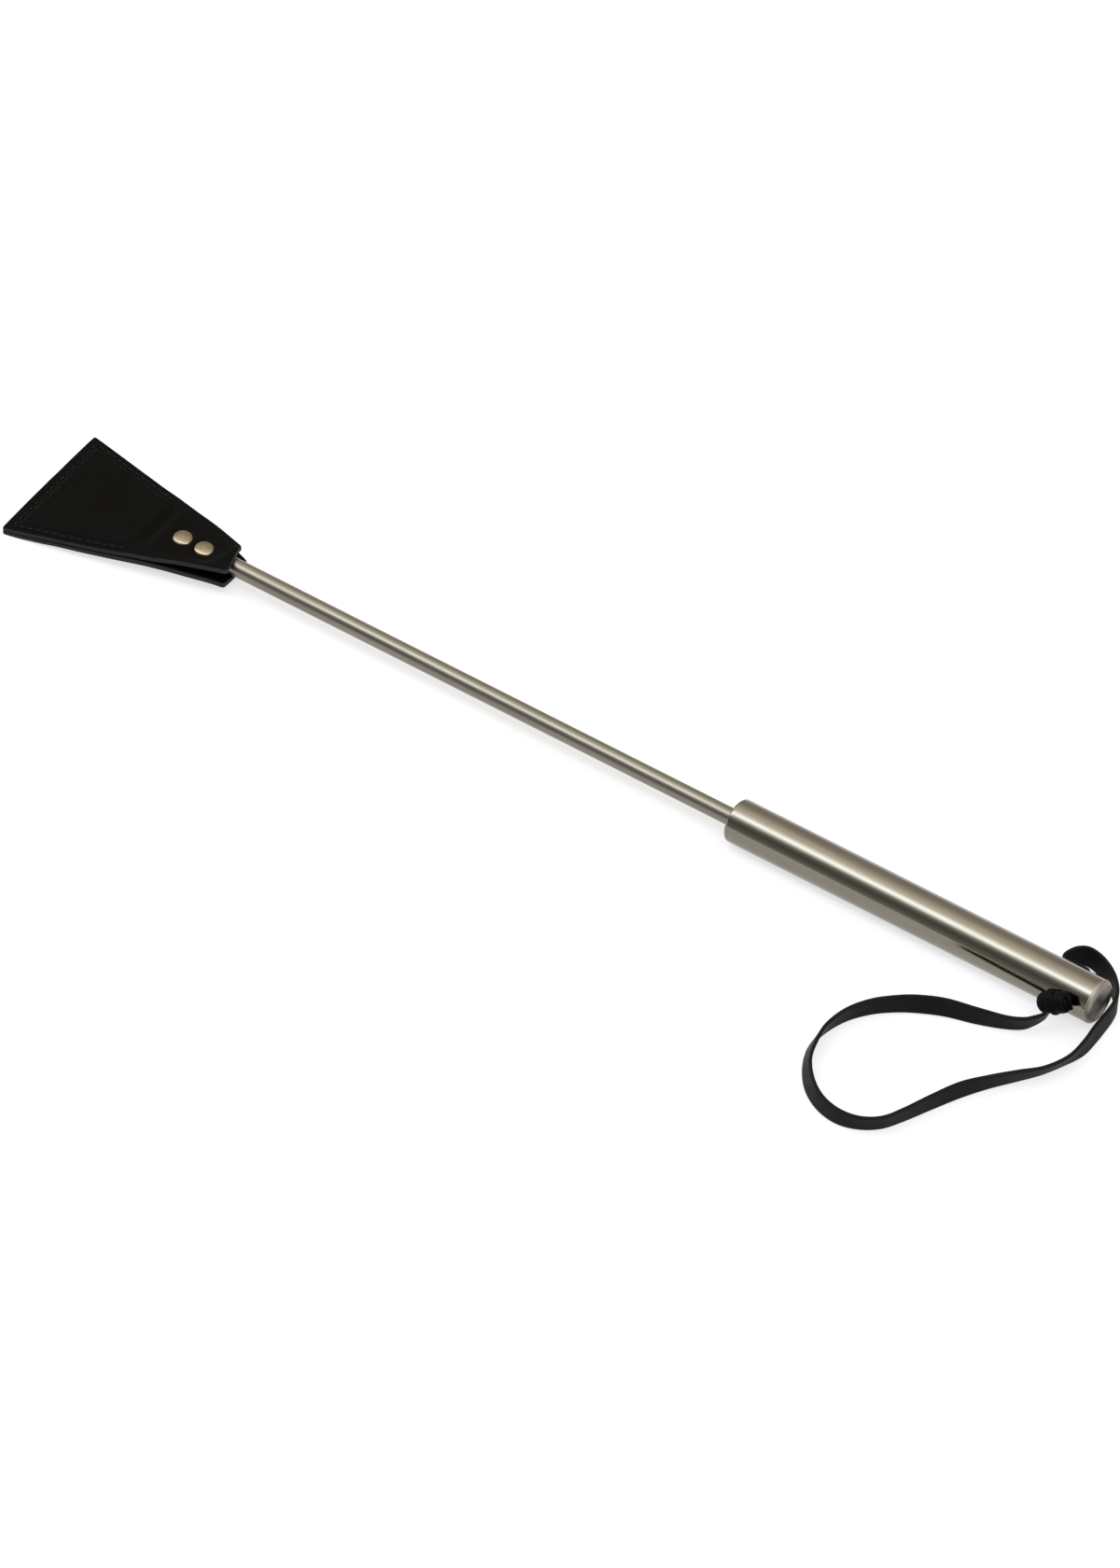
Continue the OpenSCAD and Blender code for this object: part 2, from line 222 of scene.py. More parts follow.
def drill(piece, cutter):
    """Cuts the cutter's shape out of a piece for good, and removes the cutter."""
    modifier = piece.modifiers.new("drill", "BOOLEAN")
    modifier.operation = "DIFFERENCE"
    modifier.solver = "EXACT"
    modifier.object = cutter
    bpy.context.view_layer.update()
    evaluated = piece.evaluated_get(bpy.context.evaluated_depsgraph_get())
    mesh = bpy.data.meshes.new_from_object(evaluated)
    piece.modifiers.clear()
    piece.data = mesh
    bpy.data.objects.remove(cutter)


def drill_cross_hole(piece):
    """Cuts the strap's hole through a piece."""
    reach = HOLE_AXIS * (HANDLE_R + 4)
    drill(piece, rod_between(HOLE - reach, HOLE + reach, HOLE_R, segments=96))


# ---------- materials ----------

class Look:
    """Builds the node tree of one material, with short calls for what the materials share."""

    def __init__(self, name, **inputs):
        self.material = bpy.data.materials.new(name)
        self.material.use_nodes = True
        self.nodes = self.material.node_tree.nodes
        self.links = self.material.node_tree.links
        self.shader = self.nodes["Principled BSDF"]
        for key, value in inputs.items():
            self.shader.inputs[key.replace("_", " ")].default_value = value

    def node(self, kind, **values):
        """A node with its inputs set by name, or linked if the value is a socket."""
        made = self.nodes.new(kind)
        for key, value in values.items():
            self.put(made.inputs[key.replace("_", " ")], value)
        return made

    def put(self, socket, value):
        """Links a socket to an input, or sets the input's value."""
        if isinstance(value, bpy.types.NodeSocket):
            self.links.new(value, socket)
        else:
            socket.default_value = value

    def place(self, stretch, uv=None):
        """Texture coordinates in millimetres of the frame, or of a UV layer, divided by the stretch."""
        if uv:
            source = self.node("ShaderNodeUVMap")
            source.uv_map = uv
            socket = source.outputs["UV"]
        else:
            socket = self.node("ShaderNodeTexCoord").outputs["Object"]
        mapping = self.node("ShaderNodeMapping", Vector=socket)
        mapping.inputs["Scale"].default_value = [1 / (MM * s) for s in stretch]
        return mapping.outputs["Vector"]

    def noise(self, place, scale=1.0, detail=3.0, rough=0.55):
        """Soft noise from 0 to 1."""
        made = self.node("ShaderNodeTexNoise", Vector=place, Scale=scale, Detail=detail, Roughness=rough)
        return made.outputs["Fac"]

    def cells(self, place, scale=1.0, feature="F1"):
        """Distance in a pattern of cells."""
        made = self.node("ShaderNodeTexVoronoi", Vector=place, Scale=scale)
        made.feature = feature
        return made.outputs["Distance"]

    def span(self, value, low, high, out_low=0.0, out_high=1.0):
        """A value moved from one range to another, and kept within it."""
        made = self.node("ShaderNodeMapRange", Value=value)
        made.inputs["From Min"].default_value = low
        made.inputs["From Max"].default_value = high
        made.inputs["To Min"].default_value = out_low
        made.inputs["To Max"].default_value = out_high
        return made.outputs["Result"]

    def math(self, operation, a, b):
        """One sum or product of two values."""
        made = self.node("ShaderNodeMath")
        made.operation = operation
        self.put(made.inputs[0], a)
        self.put(made.inputs[1], b)
        return made.outputs["Value"]

    def tint(self, factor, first, second):
        """A colour between two colours."""
        made = self.node("ShaderNodeMix")
        made.data_type = "RGBA"
        self.put(made.inputs["Factor"], factor)
        for index, colour in ((6, first), (7, second)):
            value = colour if isinstance(colour, bpy.types.NodeSocket) else (*colour, 1.0)
            self.put(made.inputs[index], value)
        return made.outputs[2]

    def bump(self, height, distance, strength=1.0, normal=None):
        """A bump of that many millimetres, on top of another bump."""
        made = self.node("ShaderNodeBump", Height=height, Distance=distance * MM, Strength=strength)
        if normal:
            self.put(made.inputs["Normal"], normal)
        return made.outputs["Normal"]

    def set(self, **values):
        """Sets or links inputs of the shader, and returns the material."""
        for key, value in values.items():
            self.put(self.shader.inputs[key.replace("_", " ")], value)
        return self.material


def brushed_steel(name, rough_low, rough_high):
    """Warm steel, brushed along the crop, with faint long streaks and a few soft marks."""
    look = Look(name, Metallic=1.0)
    hairlines = look.noise(look.place((60, 0.16, 0.16)), detail=2.0)
    streaks = look.noise(look.place((45, 0.9, 0.9)), detail=3.0)
    clouds = look.noise(look.place((28, 9, 9)), detail=2.0)
    grime = look.span(clouds, 0.35, 0.7)
    tone = look.tint(look.span(streaks, 0.3, 0.7), (0.199, 0.186, 0.154), (0.231, 0.217, 0.183))
    tone = look.tint(look.math("MULTIPLY", grime, 0.35), tone, (0.188, 0.171, 0.131))
    rough = look.math("ADD", look.span(hairlines, 0.2, 0.8, rough_low, rough_high),
                      look.span(clouds, 0.3, 0.7, 0.0, 0.04))
    ridges = look.bump(hairlines, 0.012, 0.5, look.bump(streaks, 0.03, 0.35))
    return look.set(Base_Color=tone, Roughness=rough, Normal=ridges)


def turned_steel():
    """Steel with fine rings about the crop's axis, as a lathe leaves on an end face."""
    look = Look("turned_steel", Metallic=1.0)
    centred = look.node("ShaderNodeVectorMath")
    centred.operation = "SUBTRACT"
    look.put(centred.inputs[0], look.node("ShaderNodeTexCoord").outputs["Object"])
    centred.inputs[1].default_value = (0.0, 0.0, AXIS_Z * MM)
    flat = look.node("ShaderNodeVectorMath")
    flat.operation = "MULTIPLY"
    look.put(flat.inputs[0], centred.outputs["Vector"])
    flat.inputs[1].default_value = (0.0, 1 / MM, 1 / MM)
    radius = look.node("ShaderNodeVectorMath")
    radius.operation = "LENGTH"
    look.put(radius.inputs[0], flat.outputs["Vector"])
    place = look.node("ShaderNodeCombineXYZ", X=radius.outputs["Value"])
    rings = look.noise(place.outputs["Vector"], scale=5.0, detail=3.0)
    tone = look.tint(look.span(rings, 0.3, 0.7), (0.235, 0.216, 0.182), (0.275, 0.256, 0.219))
    round_the_axis = look.node("ShaderNodeTangent")
    round_the_axis.direction_type = "RADIAL"
    round_the_axis.axis = "X"
    return look.set(Base_Color=tone, Roughness=look.span(rings, 0.2, 0.8, 0.38, 0.50), Anisotropic=0.6,
                    Tangent=round_the_axis.outputs["Tangent"], Normal=look.bump(rings, 0.02, 0.5))


def nickel():
    """Nickel plating, a little worn and dull between fine scratches."""
    look = Look("rivet_nickel", Metallic=1.0)
    wear = look.noise(look.place((1.6, 1.6, 1.6)), detail=4.0)
    scratches = look.noise(look.place((2.4, 0.12, 2.4)), detail=2.0)
    tone = look.tint(look.span(wear, 0.35, 0.7), (0.214, 0.176, 0.119), (0.280, 0.240, 0.171))
    rough = look.math("ADD", look.span(wear, 0.3, 0.8, 0.16, 0.30),
                      look.span(scratches, 0.4, 0.8, 0.0, 0.08))
    return look.set(Base_Color=tone, Roughness=rough, Normal=look.bump(scratches, 0.01, 0.4))


def grained_leather(name, dark, worn, gloss, uv=None, grain=1.1, rough=(0.42, 0.62)):
    """Black leather: pebbled grain with creases between the pebbles, pores, and paler worn patches."""
    look = Look(name, Specular_IOR_Level=gloss)
    place = look.place((1, 1, 1), uv)
    pebbles = look.cells(place, 1 / grain)
    creases = look.span(look.cells(place, 0.55 / grain, "DISTANCE_TO_EDGE"), 0.0, 0.12)
    pores = look.noise(place, scale=3.2, detail=3.0)
    patches = look.noise(look.place((14, 14, 14), uv), detail=3.0)
    tone = look.tint(look.span(patches, 0.38, 0.72), dark, worn)
    tone = look.tint(look.span(pores, 0.5, 0.75, 0.0, 0.4), tone, [c * 0.55 for c in dark])
    finish = look.math("ADD", look.span(patches, 0.3, 0.7, rough[0], rough[1]),
                       look.span(pores, 0.3, 0.7, -0.03, 0.05))
    bumps = look.bump(pebbles, 0.10, 0.35, look.bump(creases, 0.08, 0.35, look.bump(pores, 0.03, 0.5)))
    return look.set(Base_Color=tone, Roughness=finish, Normal=bumps)


def cut_leather():
    """The cut edge of leather: fibres in thin layers, waxed but dull."""
    look = Look("flap_leather_edge", Specular_IOR_Level=0.25)
    layers = look.noise(look.place((5, 5, 0.35)), detail=4.0, rough=0.65)
    fibres = look.noise(look.place((0.5, 0.5, 0.5)), detail=4.0, rough=0.7)
    mixed = look.math("MULTIPLY", layers, look.span(fibres, 0.2, 0.8, 0.7, 1.25))
    tone = look.tint(look.span(mixed, 0.3, 0.65), (0.003, 0.003, 0.0027), (0.016, 0.0157, 0.0145))
    return look.set(Base_Color=tone, Roughness=look.span(fibres, 0.3, 0.7, 0.62, 0.85),
                    Normal=look.bump(fibres, 0.12, 0.7, look.bump(layers, 0.15, 0.6)))


def waxed_thread():
    """Black thread twisted of fine strands, with a waxy shine."""
    look = Look("waxed_thread", Specular_IOR_Level=0.12)
    strands = look.noise(look.place((0.25, 0.25, 0.6)), detail=2.0)
    tone = look.tint(look.span(strands, 0.3, 0.7), (0.0035, 0.0035, 0.0030), (0.0100, 0.0095, 0.0085))
    return look.set(Base_Color=tone, Roughness=look.span(strands, 0.3, 0.7, 0.38, 0.6),
                    Normal=look.bump(strands, 0.06, 0.7))


def plain_metal(name, colour, low, high):
    """Metal of the hidden inner pieces, turned or ground."""
    look = Look(name, Metallic=1.0)
    marks = look.noise(look.place((0.3, 2.5, 2.5)), detail=3.0)
    tone = look.tint(look.span(marks, 0.3, 0.7), [c * 0.85 for c in colour], colour)
    return look.set(Base_Color=tone, Roughness=look.span(marks, 0.3, 0.7, low, high),
                    Normal=look.bump(marks, 0.02, 0.5))


def fibre_board():
    """The flap's stiffener: pressed fibre board."""
    look = Look("stiffener_board", Specular_IOR_Level=0.2)
    fibres = look.noise(look.place((3.0, 0.5, 0.5)), detail=4.0)
    tone = look.tint(look.span(fibres, 0.3, 0.7), (0.09, 0.075, 0.055), (0.16, 0.13, 0.10))
    return look.set(Base_Color=tone, Roughness=0.85, Normal=look.bump(fibres, 0.08, 0.6))


def paper_floor():
    """The pale studio floor, which glows a little so that shadows stay light."""
    look = Look("floor", Specular_IOR_Level=0.1, Emission_Strength=0.68)
    look.set(Emission_Color=(1.0, 1.0, 1.0, 1.0))
    tooth = look.noise(look.place((1.2, 1.2, 1.2)), detail=2.0)
    tone = look.tint(tooth, (0.245, 0.245, 0.243), (0.256, 0.256, 0.254))
    return look.set(Base_Color=tone, Roughness=0.9)


STEEL = brushed_steel("brushed_steel", 0.08, 0.13)
SHAFT_STEEL = brushed_steel("shaft_steel", 0.27, 0.35)
END_STEEL = turned_steel()
NICKEL = nickel()
LEATHER = grained_leather("flap_leather", (0.0011, 0.0011, 0.0009), (0.0020, 0.0020, 0.0017), 0.036)
LEATHER_EDGE = cut_leather()
STRAP_LEATHER = grained_leather("strap_leather", (0.0028, 0.0031, 0.0031), (0.0052, 0.0056, 0.0055), 0.09,
                                uv="along", grain=0.7, rough=(0.45, 0.60))
# the knot's leather is the strap leather made darker and less glossy: painted shade for the shade that
# falls inside the knot
KNOT_PAINTED_SHADE_LEATHER = grained_leather("knot_leather_painted_shade", (0.0016, 0.0017, 0.0017), (0.0030, 0.0032, 0.0032), 0.05,
                               uv="along", grain=0.7, rough=(0.50, 0.65))
THREAD = waxed_thread()


# ---------- camera and light ----------

def make_camera():
    """A long lens that looks down at the crop from in front, and from the butt's side."""
    azimuth, elevation, distance = math.radians(35.122), math.radians(46.0), 6.9
    crop_middle, left_by, down_by = Vector((0.0006, 0, 0.0112)), 0.0029, 0.0238
    back = Vector((math.sin(azimuth) * math.cos(elevation),
                   -math.cos(azimuth) * math.cos(elevation),
                   math.sin(elevation)))
    right = Vector((math.cos(azimuth), math.sin(azimuth), 0))
    above = back.cross(right)
    aim = crop_middle - right * left_by - above * down_by
    data = bpy.data.cameras.new("camera")
    data.sensor_width = 36
    data.lens = 335.2
    data.clip_end = 200
    camera = bpy.data.objects.new("camera", data)
    camera.location = aim + back * distance
    camera.rotation_mode = "QUATERNION"
    camera.rotation_quaternion = (-back).to_track_quat("-Z", "Y")
    bpy.context.scene.collection.objects.link(camera)
    bpy.context.scene.camera = camera


# the studio round the crop's axis, from the horizon behind it, over the top, to the horizon in front:
# (share of that half turn, brightness, warmth)
STUDIO = [(0.0, 0.6, 0.11), (0.10, 0.63, 0.11), (0.17, 0.66, 0.11), (0.24, 0.82, 0.11), (0.31, 1.1, 0.11),
          (0.38, 1.5, 0.10), (0.44, 1.75, 0.08), (0.50, 2.35, 0.03), (0.55, 4.2, -0.03), (0.60, 5.7, -0.06),
          (0.65, 2.0, -0.04), (0.70, 0.55, 0.0), (0.76, 0.3, 0.05), (0.82, 0.19, 0.08), (0.88, 0.27, 0.08),
          (0.94, 0.4, 0.08), (1.0, 0.45, 0.08)]


def make_studio():
    """A soft studio dome with one long bright panel above the crop, and a dim side in front of it."""
    world = bpy.data.worlds.new("studio")
    bpy.context.scene.world = world
    world.use_nodes = True
    nodes, links = world.node_tree.nodes, world.node_tree.links
    direction = nodes.new("ShaderNodeTexCoord")
    parts = nodes.new("ShaderNodeSeparateXYZ")
    links.new(direction.outputs["Generated"], parts.inputs["Vector"])
    turn = nodes.new("ShaderNodeMath")
    turn.operation = "ARCTAN2"
    links.new(parts.outputs["Z"], turn.inputs[0])
    links.new(parts.outputs["Y"], turn.inputs[1])
    turned_by = nodes.new("ShaderNodeMapRange")
    turned_by.inputs["From Max"].default_value = math.pi
    links.new(turn.outputs["Value"], turned_by.inputs["Value"])
    ramp = nodes.new("ShaderNodeValToRGB")
    ramp.color_ramp.interpolation = "B_SPLINE"
    top = 1.1 * max(level for _, level, _ in STUDIO)
    while len(ramp.color_ramp.elements) < len(STUDIO):
        ramp.color_ramp.elements.new(0.5)
    for element, (position, level, warmth) in zip(ramp.color_ramp.elements, STUDIO):
        share = level / top
        element.position = position
        element.color = (share * (1 + warmth), share, share * (1 - warmth), 1.0)
    links.new(turned_by.outputs["Result"], ramp.inputs["Fac"])
    background = nodes["Background"]
    links.new(ramp.outputs["Color"], background.inputs["Color"])
    background.inputs["Strength"].default_value = top


def make_floor():
    """A wide pale floor just under the crop."""
    half, drop = 30.0, 0.05 * MM
    corners = [(-half, -half, 0), (half, -half, 0), (half, half, 0), (-half, half, 0)]
    mesh = bpy.data.meshes.new("floor")
    mesh.from_pydata(corners, [], [(0, 1, 2, 3)])
    mesh.materials.append(paper_floor())
    floor = bpy.data.objects.new("floor", mesh)
    floor.location.z = -drop
    bpy.context.scene.collection.objects.link(floor)


# ---------- wrist strap and knot ----------

# The strap's route in millimetres: [x from the cross hole, y, z, lean], lean in degrees from standing
# on edge, positive where the upper edge leans out of the loop.
STRAP_ROUTE = [
    [0, -14, 14, 0], [0, 0, 11, 0], [0, 12, 8.5, 0], [-4, 14.4, 7.4, 0],
    [-9.5, 14, 6.6, 2], [-13.8, 14.8, 6.1, 6], [-15.2, 17.4, 5.8, 10], [-14.2, 21, 5.7, 16],
    [-12.4, 24.2, 5.4, 20], [-8.8, 26.2, 5.3, 22], [-3.2, 25.6, 5.2, 22], [3, 23, 5.2, 22],
    [8.2, 19.8, 5.2, 18], [12.6, 16.2, 5.2, 12], [16.6, 11.8, 5.2, 6], [19.2, 6.8, 5.2, 0],
    [20.4, 0.5, 5.2, -4], [20.8, -6, 5.2, -6], [21.2, -13, 5.2, -6], [21.7, -23.5, 5.2, 2],
    [19.6, -34.5, 5.2, 22], [14.3, -46, 5.2, 25], [6.5, -55.7, 5.2, 16], [-2.4, -66.8, 5.2, 8],
    [-10.3, -78.5, 5.2, -2], [-17, -92.8, 5.2, 2], [-23, -106.5, 5.2, 8], [-28.7, -116.3, 5.2, 12],
    [-37.5, -122.5, 5.2, 8], [-48, -124.5, 5.2, -2], [-59, -122, 5.2, -10], [-69, -115.5, 5.2, -18],
    [-77.2, -105.7, 5.2, -20], [-82, -94, 5.2, -26], [-83.2, -82, 5.2, -17], [-80.2, -69.2, 5.2, -8],
    [-73.8, -58.7, 5.2, 0], [-66, -51, 5.2, 6], [-57.3, -44.8, 5.2, 12], [-45.2, -39, 5.2, 13],
    [-30.3, -35, 5.2, 5], [-17.2, -30.8, 5.3, -8], [-9.8, -27.2, 5.8, -14], [-6.2, -23.7, 6.6, -20],
    [-3.3, -19.9, 8.2, -26], [-2.2, -16.8, 11, -24],
]
STRAP_W, STRAP_T = 10.0, 1.8
# the strap in the hole, and how far from the hole's middle it stays so and then takes to widen
PINCHED_W, PINCHED_T = 7.0, 2.6
PINCHED_REACH, WIDENING = 12, 6


def spline(points, steps):
    """Points smoothed by a Catmull-Rom curve, with that many steps to a stretch."""
    p = np.array(points, float)
    made = []
    for i in range(len(p) - 1):
        a, b, c, d = p[max(i - 1, 0)], p[i], p[i + 1], p[min(i + 2, len(p) - 1)]
        for t in np.arange(steps) / steps:
            made.append(0.5 * (2 * b + (c - a) * t + (2 * a - 5 * b + 4 * c - d) * t * t
                               + (3 * b - a - 3 * c + d) * t ** 3))
    made.append(p[-1])
    return np.array(made)


def ribbon_section(width, thickness, cup):
    """A strap's cross section as [across, out] points: a flat band with rounded edges, hollowed by cup."""
    half_w, half_t = width / 2, thickness / 2
    round_r = min(half_t * 0.75, 0.6)
    flat_w, flat_t = half_w - round_r, half_t - round_r
    face = np.linspace(-flat_w, flat_w, 9)
    upper_end = [[flat_w + round_r * math.sin(turn), flat_t + round_r * math.cos(turn)]
                 for turn in np.radians((30, 60))]
    points = [[w, half_t] for w in face] + upper_end
    points += [[half_w, flat_t], [half_w, -flat_t]]
    points += [[w, -t] for w, t in reversed(upper_end)]
    points += [[w, -half_t] for w in face[::-1]]
    points += [[-w, -t] for w, t in upper_end]
    points += [[-half_w, -flat_t], [-half_w, flat_t]]
    points += [[-w, t] for w, t in reversed(upper_end)]
    points = np.array(points)
    points[:, 1] += cup * ((points[:, 0] / half_w) ** 2 - 0.4)
    return points


def sweep(name, centres, wide, thick, sections, material):
    """A ribbon through the centres, with a UV layer in metres. It joins up if they end where they start."""
    sides, last_side = len(sections[0]), 0.4
    looped = np.allclose(centres[0], centres[-1])
    rings = [c + np.outer(s[:, 0], w) + np.outer(s[:, 1], t)
             for c, w, t, s in zip(centres, wide, thick, sections)]
    if looped:
        rings.pop()
    faces = [face[::-1] for face in ring_faces(len(rings), sides, looped)]
    piece = make_piece(name, np.concatenate(rings), faces, material)
    along = run_lengths(centres)
    around = [run_lengths(section) for section in sections]
    layer = piece.data.uv_layers.new(name="along")
    for polygon in piece.data.polygons:
        places = [divmod(vertex, sides) for vertex in polygon.vertices]
        joins = looped and {ring for ring, _ in places} == {0, len(rings) - 1}
        wraps = {k for _, k in places} == {0, sides - 1}
        for loop, (ring, k) in zip(polygon.loop_indices, places):
            u = along[-1] if joins and ring == 0 else along[ring]
            v = around[ring][-1] + last_side if wraps and k == 0 else around[ring][k]
            layer.data[loop].uv = (u * MM, v * MM)
    return piece


def make_strap():
    """The wrist strap, which stands on its edge on the surface and leans a little here and there."""
    route = spline(STRAP_ROUTE, 7)
    centres = route[:, :3] + [HOLE[0], 0, 0]
    heading = unit(np.gradient(centres, axis=0))
    out = unit(np.stack([-heading[:, 1], heading[:, 0], np.zeros(len(heading))], axis=1))
    up = unit(np.array([0, 0, 1.0]) - heading * heading[:, 2:3])
    lean = np.radians(route[:, 3:4])
    wide = unit(np.cos(lean) * up + np.sin(lean) * out)
    thick = np.cross(heading, wide)
    from_hole = np.linalg.norm(centres - HOLE, axis=1)
    free = smooth((from_hole - PINCHED_REACH) / WIDENING)
    sections = []
    for i, share in enumerate(free):
        ripple = 0.12 * noise.noise(Vector((i * 0.09, 4.0, 0)))
        width = PINCHED_W + (STRAP_W - PINCHED_W) * share + ripple
        thickness = PINCHED_T + (STRAP_T - PINCHED_T) * share
        cup = 0.22 * noise.noise(Vector((i * 0.05, 9.0, 0))) * share
        sections.append(ribbon_section(width, thickness, cup))
    strap = sweep("wrist_strap_leather", centres, wide, thick, sections, STRAP_LEATHER)
    settle(strap, "wrist_loop", "wrist_strap")
    return strap, centres


def knot_axes():
    """The knot's middle, and its axes: along it, up across it, and out of the hole's mouth."""
    lean, stand_off, shift_along, shift_up = math.radians(27), 4.4, 0.7, 0.9
    out = -unit(HOLE_AXIS)
    along = np.array([1.0, 0.0, 0.0])
    up = np.cross(out, along)
    knot_along = along * math.cos(lean) + up * math.sin(lean)
    knot_up = up * math.cos(lean) - along * math.sin(lean)
    middle = HOLE + out * (HANDLE_R + stand_off) + knot_along * shift_along + knot_up * shift_up
    return middle, np.array([knot_along, knot_up, out])


def turned_band(offset, radii, tilt, turn, width):
    """Centres, wide and thick directions and sections of a flat band round the knot, in its axes."""
    steps, thickness, cup = 56, 1.7, -0.55
    angles = np.linspace(0, 2 * math.pi, steps)
    none = np.zeros(steps)
    oval = np.stack([none, radii[0] * np.cos(angles), radii[1] * np.sin(angles)], axis=1)
    normal = unit(np.stack([none, np.cos(angles) / radii[0], np.sin(angles) / radii[1]], axis=1))
    t, r = math.radians(tilt), math.radians(turn)
    about_out = np.array([[math.cos(t), -math.sin(t), 0], [math.sin(t), math.cos(t), 0], [0, 0, 1]])
    about_up = np.array([[math.cos(r), 0, math.sin(r)], [0, 1, 0], [-math.sin(r), 0, math.cos(r)]])
    rotate = about_out @ about_up
    wide = np.tile(rotate @ np.array([1.0, 0.0, 0.0]), (steps, 1))
    sections = [ribbon_section(width, thickness, cup) for _ in range(steps)]
    return oval @ rotate.T + offset, wide, normal @ rotate.T, sections


def tail_band(start, end, width):
    """Centres, wide and thick directions and sections of a short cut end, in the knot's axes."""
    steps, cup = 10, 0.2
    share = np.linspace(0, 1, steps)[:, None]
    centres = np.array(start) * (1 - share) + np.array(end) * share
    heading = unit(np.array(end, float) - np.array(start))
    wide = np.tile(unit(np.cross([0.0, 0.0, 1.0], heading)), (steps, 1))
    thick = np.tile(np.cross(heading, wide[0]), (steps, 1))
    return centres, wide, thick, [ribbon_section(width, STRAP_T, cup) for _ in range(steps)]


def make_knot_core():
    """The strap bunched inside the knot: a rounded lump that the turns lie on."""
    middle, axes = knot_axes()
    radii, power, unevenness = np.array([6.8, 4.0, 3.6]), 0.75, 0.05
    rings, sides = 21, 36
    points = []
    for lift in np.radians(np.linspace(-88, 88, rings)):
        for a in np.linspace(0, 2 * math.pi, sides, endpoint=False):
            ball = np.array([math.sin(lift), math.cos(lift) * math.cos(a), math.cos(lift) * math.sin(a)])
            lump = np.sign(ball) * np.abs(ball) ** power * radii
            points.append(middle + (lump * (1 + unevenness * noise.noise(Vector(ball * 2.2)))) @ axes)
    core = make_piece("knot_core", points, ring_faces(rings, sides), KNOT_PAINTED_SHADE_LEATHER)
    settle(core, "wrist_loop", "strap_knot")
    return core


def make_knot():
    """The knot in front of the hole: turns of the strap pulled tight over each other, and its cut end."""
    bands = {
        "knot_left_turn": turned_band((-4.3, 0.1, 0), (4.3, 4.1), 14, -8, 6.4),
        "knot_right_turn": turned_band((3.1, 0.0, 0), (4.2, 4.0), -4, 3, 6.4),
        "knot_cross_turn": turned_band((-0.4, 0.1, 0.5), (4.7, 4.1), 34, 10, 6.6),
        "knot_cut_end": tail_band((1.0, -0.2, 0.4), (8.0, -0.4, -0.9), 7.4),
    }
    middle, axes = knot_axes()
    pieces = [make_knot_core()]
    for name, (centres, wide, thick, sections) in bands.items():
        band = sweep(name, centres @ axes + middle, wide @ axes, thick @ axes, sections, KNOT_PAINTED_SHADE_LEATHER)
        settle(band, "wrist_loop")
        pieces.append(band)
    return pieces


# ---------- handle and shaft ----------

def make_handle():
    """The handle's tube, with rounded ends and the strap's cross hole."""
    front_r, butt_r = 2.0, 2.3
    profile = arc(FRONT_X + front_r, HANDLE_R - front_r, front_r, 180, 90, 10)
    profile += [[x, HANDLE_R] for x in np.linspace(FRONT_X + 8, BUTT_X - 4, 24)]
    profile += arc(BUTT_X - butt_r, HANDLE_R - butt_r, butt_r, 90, 0, 12)
    profile += [[BUTT_X - 5, BORE_R], [FRONT_X + 5, BORE_R]]
    profile += arc(FRONT_X + 0.3, BORE_R + 0.35, 0.3, -90, -180, 3)
    points, faces = turned(profile[::-1], 160)
    handle = make_piece("handle_steel_tube", on_axis(points), faces, STEEL)
    handle.data.materials.append(END_STEEL)
    for polygon in handle.data.polygons:
        polygon.material_index = int(polygon.center.x > (BUTT_X - butt_r) * MM)
    drill_cross_hole(handle)
    crisp(handle)
    settle(handle, "crop_frame", "handle_tube")


def make_butt_plug():
    """The plug that closes the butt, flush but for the fine joint round it."""
    edge, gap, dish = 0.25, 0.02, 0.12
    inner_x, outer_x = plug_low[0], BUTT_X - gap
    profile = [[inner_x, 0.01], [inner_x, BORE_R - edge], [inner_x + edge, BORE_R - gap]]
    profile += [[BUTT_X - edge, BORE_R - gap], [outer_x, BORE_R - edge]]
    profile += [[outer_x - dish * bell(r / 3.0), r] for r in (7, 5, 4, 3, 2, 1.2, 0.6, 0.01)]
    points, faces = turned(profile[::-1], 128, closed=False)
    plug = make_piece("butt_end_plug", on_axis(points), faces, END_STEEL)
    drill_cross_hole(plug)
    crisp(plug)
    settle(plug, "crop_frame", "butt_plug")


def make_front_collar():
    """The collar that closes the handle's front end round the shaft."""
    x0, x1 = collar_low[0], collar_high[0]
    edge, lip, gap = 0.4, 0.15, 0.02
    profile = [[x0 + edge, BORE_R], [x0, BORE_R - edge], [x0, SHAFT_R + 1.2], [x0 - lip, SHAFT_R + 0.8]]
    profile += [[x0 - lip, SHAFT_R + 0.25], [x0 + 0.1, SHAFT_R + gap]]
    profile += [[x1, SHAFT_R + gap], [x1, BORE_R]]
    points, faces = turned(profile[::-1], 128)
    collar = make_piece("front_end_collar", on_axis(points), faces, END_STEEL)
    crisp(collar)
    settle(collar, "crop_frame", "front_plug")


